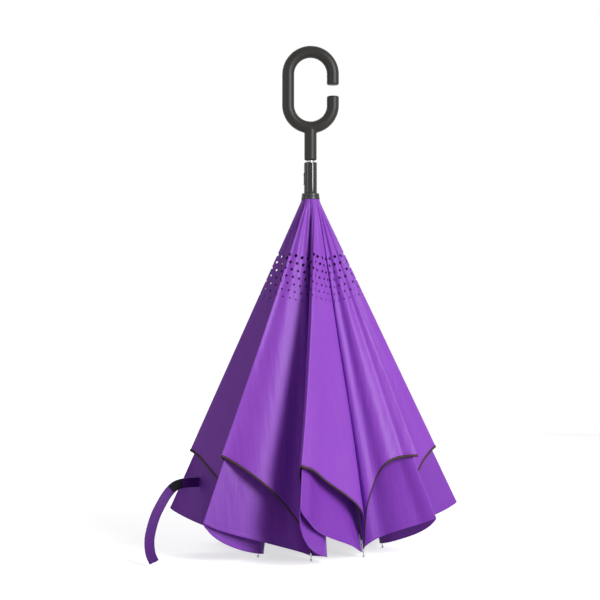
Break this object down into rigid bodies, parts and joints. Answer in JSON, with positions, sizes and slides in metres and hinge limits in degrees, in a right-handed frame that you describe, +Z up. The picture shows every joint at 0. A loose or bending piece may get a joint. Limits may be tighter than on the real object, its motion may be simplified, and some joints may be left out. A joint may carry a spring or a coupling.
{
  "type": "inverted umbrella",
  "caption": "Closed reverse-folding umbrella with a C-shaped handle, layered purple canopy and loose strap, standing on its rib tips.",
  "frame": {"origin": "on the shaft's axis, at the floor on which the rib tips stand", "axes": "+Z up along the shaft towards the handle, +X towards the handle's open side, -Y to the front"},
  "size_m": [0.4885, 0.4157, 0.8],
  "materials": {
    "soft_touch_grip": "matt soft-touch",
    "gloss_black_plastic": "gloss",
    "black_nylon": "satin",
    "bright_steel": "bright",
    "black_coated_steel": "satin black",
    "purple_satin": "satin polyester",
    "purple_strap_cloth": "satin polyester",
    "black_hook_tape": "hook tape"
  },
  "bodies": {
    "shaft": {"c_handle": "soft_touch_grip", "shaft_tube": "bright_steel", "top_notch": "black_nylon", "notch_wire": "bright_steel", "ferrule_cap": "gloss_black_plastic", "rosette": "purple_satin", "rain_centre": "purple_satin"},
    "runner": {"runner_sleeve": "gloss_black_plastic", "runner_crown": "black_nylon", "crown_wire": "bright_steel", "canopy_collar": "gloss_black_plastic", "latch_spring": "bright_steel"},
    "latch": {"latch_button": "gloss_black_plastic"},
    "rib_1_arm": {"rib_1": "black_coated_steel", "rib_tip_1": "bright_steel"},
    "spreader_1_arm": {"spreader_1": "black_coated_steel"},
    "rib_2_arm": {"rib_2": "black_coated_steel", "rib_tip_2": "bright_steel"},
    "spreader_2_arm": {"spreader_2": "black_coated_steel"},
    "rib_3_arm": {"rib_3": "black_coated_steel", "rib_tip_3": "bright_steel"},
    "spreader_3_arm": {"spreader_3": "black_coated_steel"},
    "rib_4_arm": {"rib_4": "black_coated_steel", "rib_tip_4": "bright_steel"},
    "spreader_4_arm": {"spreader_4": "black_coated_steel"},
    "rib_5_arm": {"rib_5": "black_coated_steel", "rib_tip_5": "bright_steel"},
    "spreader_5_arm": {"spreader_5": "black_coated_steel"},
    "rib_6_arm": {"rib_6": "black_coated_steel", "rib_tip_6": "bright_steel"},
    "spreader_6_arm": {"spreader_6": "black_coated_steel"},
    "rib_7_arm": {"rib_7": "black_coated_steel", "rib_tip_7": "bright_steel"},
    "spreader_7_arm": {"spreader_7": "black_coated_steel"},
    "rib_8_arm": {"rib_8": "black_coated_steel", "rib_tip_8": "bright_steel"},
    "spreader_8_arm": {"spreader_8": "black_coated_steel"},
    "gore_1_left": {"under_panel_1": "purple_satin"},
    "gore_1_right": {"rain_panel_1": "purple_satin"},
    "gore_2_left": {"under_panel_2": "purple_satin"},
    "gore_2_right": {"rain_panel_2": "purple_satin"},
    "gore_3_left": {"under_panel_3": "purple_satin"},
    "gore_3_right": {"rain_panel_3": "purple_satin"},
    "gore_4_left": {"under_panel_4": "purple_satin"},
    "gore_4_right": {"rain_panel_4": "purple_satin"},
    "gore_5_left": {"under_panel_5": "purple_satin"},
    "gore_5_right": {"rain_panel_5": "purple_satin"},
    "gore_6_left": {"under_panel_6": "purple_satin"},
    "gore_6_right": {"rain_panel_6": "purple_satin"},
    "gore_7_left": {"under_panel_7": "purple_satin"},
    "gore_7_right": {"rain_panel_7": "purple_satin"},
    "gore_8_left": {"under_panel_8": "purple_satin"},
    "gore_8_right": {"rain_panel_8": "purple_satin"},
    "strap_band": {"strap": "purple_strap_cloth", "strap_hook_patch": "black_hook_tape"}
  },
  "joints": [
    {"name": "runner_slide", "type": "slide", "parent": "shaft", "child": "runner", "axis": [0, 0, -1], "range_m": [0, 0.37267], "deforming": ["under_panel_1", "under_panel_2", "under_panel_3", "under_panel_4", "under_panel_5", "under_panel_6", "under_panel_7", "under_panel_8", "rain_panel_1", "rain_panel_2", "rain_panel_3", "rain_panel_4", "rain_panel_5", "rain_panel_6", "rain_panel_7", "rain_panel_8", "rain_centre"]},
    {"name": "latch_press", "type": "slide", "parent": "runner", "child": "latch", "axis": [1, 0, 0], "range_m": [0, 0.0012], "stiffness_N_per_m": 600, "springref_m": -0.0008},
    {"name": "rib_1_hinge", "type": "hinge", "parent": "runner", "child": "rib_1_arm", "pos_m": [-0.01, 0, 0.549], "axis": [0, 1, 0], "range_deg": [0, 92.01]},
    {"name": "spreader_1_hinge", "type": "hinge", "parent": "shaft", "child": "spreader_1_arm", "pos_m": [-0.01, -0.0035, 0.16233], "axis": [0, -1, 0], "range_deg": [0, 62.55]},
    {"name": "rib_2_hinge", "type": "hinge", "parent": "runner", "child": "rib_2_arm", "pos_m": [-0.00707, -0.00707, 0.549], "axis": [-0.7071, 0.7071, 0], "range_deg": [0, 92.01]},
    {"name": "spreader_2_hinge", "type": "hinge", "parent": "shaft", "child": "spreader_2_arm", "pos_m": [-0.0046, -0.00955, 0.16233], "axis": [0.7071, -0.7071, 0], "range_deg": [0, 62.55]},
    {"name": "rib_3_hinge", "type": "hinge", "parent": "runner", "child": "rib_3_arm", "pos_m": [0, -0.01, 0.549], "axis": [-1, 0, 0], "range_deg": [0, 92.01]},
    {"name": "spreader_3_hinge", "type": "hinge", "parent": "shaft", "child": "spreader_3_arm", "pos_m": [0.0035, -0.01, 0.16233], "axis": [1, 0, 0], "range_deg": [0, 62.55]},
    {"name": "rib_4_hinge", "type": "hinge", "parent": "runner", "child": "rib_4_arm", "pos_m": [0.00707, -0.00707, 0.549], "axis": [-0.7071, -0.7071, 0], "range_deg": [0, 92.01]},
    {"name": "spreader_4_hinge", "type": "hinge", "parent": "shaft", "child": "spreader_4_arm", "pos_m": [0.00955, -0.0046, 0.16233], "axis": [0.7071, 0.7071, 0], "range_deg": [0, 62.55]},
    {"name": "rib_5_hinge", "type": "hinge", "parent": "runner", "child": "rib_5_arm", "pos_m": [0.01, 0, 0.549], "axis": [0, -1, 0], "range_deg": [0, 92.01]},
    {"name": "spreader_5_hinge", "type": "hinge", "parent": "shaft", "child": "spreader_5_arm", "pos_m": [0.01, 0.0035, 0.16233], "axis": [0, 1, 0], "range_deg": [0, 62.55]},
    {"name": "rib_6_hinge", "type": "hinge", "parent": "runner", "child": "rib_6_arm", "pos_m": [0.00707, 0.00707, 0.549], "axis": [0.7071, -0.7071, 0], "range_deg": [0, 92.01]},
    {"name": "spreader_6_hinge", "type": "hinge", "parent": "shaft", "child": "spreader_6_arm", "pos_m": [0.0046, 0.00955, 0.16233], "axis": [-0.7071, 0.7071, 0], "range_deg": [0, 62.55]},
    {"name": "rib_7_hinge", "type": "hinge", "parent": "runner", "child": "rib_7_arm", "pos_m": [0, 0.01, 0.549], "axis": [1, 0, 0], "range_deg": [0, 92.01]},
    {"name": "spreader_7_hinge", "type": "hinge", "parent": "shaft", "child": "spreader_7_arm", "pos_m": [-0.0035, 0.01, 0.16233], "axis": [-1, 0, 0], "range_deg": [0, 62.55]},
    {"name": "rib_8_hinge", "type": "hinge", "parent": "runner", "child": "rib_8_arm", "pos_m": [-0.00707, 0.00707, 0.549], "axis": [0.7071, 0.7071, 0], "range_deg": [0, 92.01]},
    {"name": "spreader_8_hinge", "type": "hinge", "parent": "shaft", "child": "spreader_8_arm", "pos_m": [-0.00955, 0.0046, 0.16233], "axis": [-0.7071, -0.7071, 0], "range_deg": [0, 62.55]},
    {"name": "gore_1_left_fold", "type": "hinge", "parent": "rib_1_arm", "child": "gore_1_left", "pos_m": [0, 0, 0.55936], "axis": [0.1611, 0.0449, 0.9859], "range_deg": [0, 83.71]},
    {"name": "gore_1_right_fold", "type": "hinge", "parent": "rib_2_arm", "child": "gore_1_right", "pos_m": [0, 0, 0.55936], "axis": [0.0635, 0.1891, -0.9799], "range_deg": [0, 16.92]},
    {"name": "gore_2_left_fold", "type": "hinge", "parent": "rib_2_arm", "child": "gore_2_left", "pos_m": [0, 0, 0.55936], "axis": [0.0836, 0.1479, 0.9855], "range_deg": [0, 88.14]},
    {"name": "gore_2_right_fold", "type": "hinge", "parent": "rib_3_arm", "child": "gore_2_right", "pos_m": [0, 0, 0.55936], "axis": [-0.0993, 0.2968, -0.9498], "range_deg": [0, 13.9]},
    {"name": "gore_3_left_fold", "type": "hinge", "parent": "rib_3_arm", "child": "gore_3_left", "pos_m": [0, 0, 0.55936], "axis": [-0.0481, 0.1647, 0.9852], "range_deg": [0, 92.93]},
    {"name": "gore_3_right_fold", "type": "hinge", "parent": "rib_4_arm", "child": "gore_3_right", "pos_m": [0, 0, 0.55936], "axis": [-0.4394, 0.2786, -0.854], "range_deg": [0, 11.04]},
    {"name": "gore_4_left_fold", "type": "hinge", "parent": "rib_4_arm", "child": "gore_4_left", "pos_m": [0, 0, 0.55936], "axis": [-0.0867, -0.0348, 0.9956], "range_deg": [0, 44.57]},
    {"name": "gore_4_right_fold", "type": "hinge", "parent": "rib_5_arm", "child": "gore_4_right", "pos_m": [0, 0, 0.55936], "axis": [0.0367, -0.086, -0.9956], "range_deg": [0, 44.57]},
    {"name": "gore_5_left_fold", "type": "hinge", "parent": "rib_5_arm", "child": "gore_5_left", "pos_m": [0, 0, 0.55936], "axis": [-0.1454, -0.0405, 0.9885], "range_deg": [0, 59.6]},
    {"name": "gore_5_right_fold", "type": "hinge", "parent": "rib_6_arm", "child": "gore_5_right", "pos_m": [0, 0, 0.55936], "axis": [0.1011, 0.0314, -0.9944], "range_deg": [0, 37.74]},
    {"name": "gore_6_left_fold", "type": "hinge", "parent": "rib_6_arm", "child": "gore_6_left", "pos_m": [0, 0, 0.55936], "axis": [-0.0215, -0.1196, 0.9926], "range_deg": [0, 57.27]},
    {"name": "gore_6_right_fold", "type": "hinge", "parent": "rib_7_arm", "child": "gore_6_right", "pos_m": [0, 0, 0.55936], "axis": [0.0879, -0.0125, -0.996], "range_deg": [0, 34.53]},
    {"name": "gore_7_left_fold", "type": "hinge", "parent": "rib_7_arm", "child": "gore_7_left", "pos_m": [0, 0, 0.55936], "axis": [0.0694, -0.0997, 0.9926], "range_deg": [0, 57.27]},
    {"name": "gore_7_right_fold", "type": "hinge", "parent": "rib_8_arm", "child": "gore_7_right", "pos_m": [0, 0, 0.55936], "axis": [0.071, 0.0534, -0.996], "range_deg": [0, 34.53]},
    {"name": "gore_8_left_fold", "type": "hinge", "parent": "rib_8_arm", "child": "gore_8_left", "pos_m": [0, 0, 0.55936], "axis": [0.1248, -0.0303, 0.9917], "range_deg": [0, 60.63]},
    {"name": "gore_8_right_fold", "type": "hinge", "parent": "rib_1_arm", "child": "gore_8_right", "pos_m": [0, 0, 0.55936], "axis": [0.0344, 0.0901, -0.9953], "range_deg": [0, 31.84]},
    {"name": "strap_swing", "type": "hinge", "parent": "gore_1_right", "child": "strap_band", "pos_m": [-0.17612, -0.011, 0.10667], "axis": [-0.5797, 0.426, 0.6946], "range_deg": [0, 50]}
  ],
  "couplings": [
    {"joint": "rib_1_hinge", "follows": "runner_slide", "rad_per_m": 4.3087},
    {"joint": "spreader_1_hinge", "follows": "runner_slide", "rad_per_m": 2.9291},
    {"joint": "rib_2_hinge", "follows": "runner_slide", "rad_per_m": 4.3087},
    {"joint": "spreader_2_hinge", "follows": "runner_slide", "rad_per_m": 2.9291},
    {"joint": "rib_3_hinge", "follows": "runner_slide", "rad_per_m": 4.3087},
    {"joint": "spreader_3_hinge", "follows": "runner_slide", "rad_per_m": 2.9291},
    {"joint": "rib_4_hinge", "follows": "runner_slide", "rad_per_m": 4.3087},
    {"joint": "spreader_4_hinge", "follows": "runner_slide", "rad_per_m": 2.9291},
    {"joint": "rib_5_hinge", "follows": "runner_slide", "rad_per_m": 4.3087},
    {"joint": "spreader_5_hinge", "follows": "runner_slide", "rad_per_m": 2.9291},
    {"joint": "rib_6_hinge", "follows": "runner_slide", "rad_per_m": 4.3087},
    {"joint": "spreader_6_hinge", "follows": "runner_slide", "rad_per_m": 2.9291},
    {"joint": "rib_7_hinge", "follows": "runner_slide", "rad_per_m": 4.3087},
    {"joint": "spreader_7_hinge", "follows": "runner_slide", "rad_per_m": 2.9291},
    {"joint": "rib_8_hinge", "follows": "runner_slide", "rad_per_m": 4.3087},
    {"joint": "spreader_8_hinge", "follows": "runner_slide", "rad_per_m": 2.9291},
    {"joint": "gore_1_left_fold", "follows": "runner_slide", "rad_per_m": 3.9199},
    {"joint": "gore_1_right_fold", "follows": "runner_slide", "rad_per_m": 0.79196},
    {"joint": "gore_2_left_fold", "follows": "runner_slide", "rad_per_m": 4.1272},
    {"joint": "gore_2_right_fold", "follows": "runner_slide", "rad_per_m": 0.65043},
    {"joint": "gore_3_left_fold", "follows": "runner_slide", "rad_per_m": 4.3516},
    {"joint": "gore_3_right_fold", "follows": "runner_slide", "rad_per_m": 0.51665},
    {"joint": "gore_4_left_fold", "follows": "runner_slide", "rad_per_m": 2.0868},
    {"joint": "gore_4_right_fold", "follows": "runner_slide", "rad_per_m": 2.0868},
    {"joint": "gore_5_left_fold", "follows": "runner_slide", "rad_per_m": 2.7907},
    {"joint": "gore_5_right_fold", "follows": "runner_slide", "rad_per_m": 1.7672},
    {"joint": "gore_6_left_fold", "follows": "runner_slide", "rad_per_m": 2.6819},
    {"joint": "gore_6_right_fold", "follows": "runner_slide", "rad_per_m": 1.6167},
    {"joint": "gore_7_left_fold", "follows": "runner_slide", "rad_per_m": 2.6819},
    {"joint": "gore_7_right_fold", "follows": "runner_slide", "rad_per_m": 1.6167},
    {"joint": "gore_8_left_fold", "follows": "runner_slide", "rad_per_m": 2.839},
    {"joint": "gore_8_right_fold", "follows": "runner_slide", "rad_per_m": 1.4905}
  ]
}
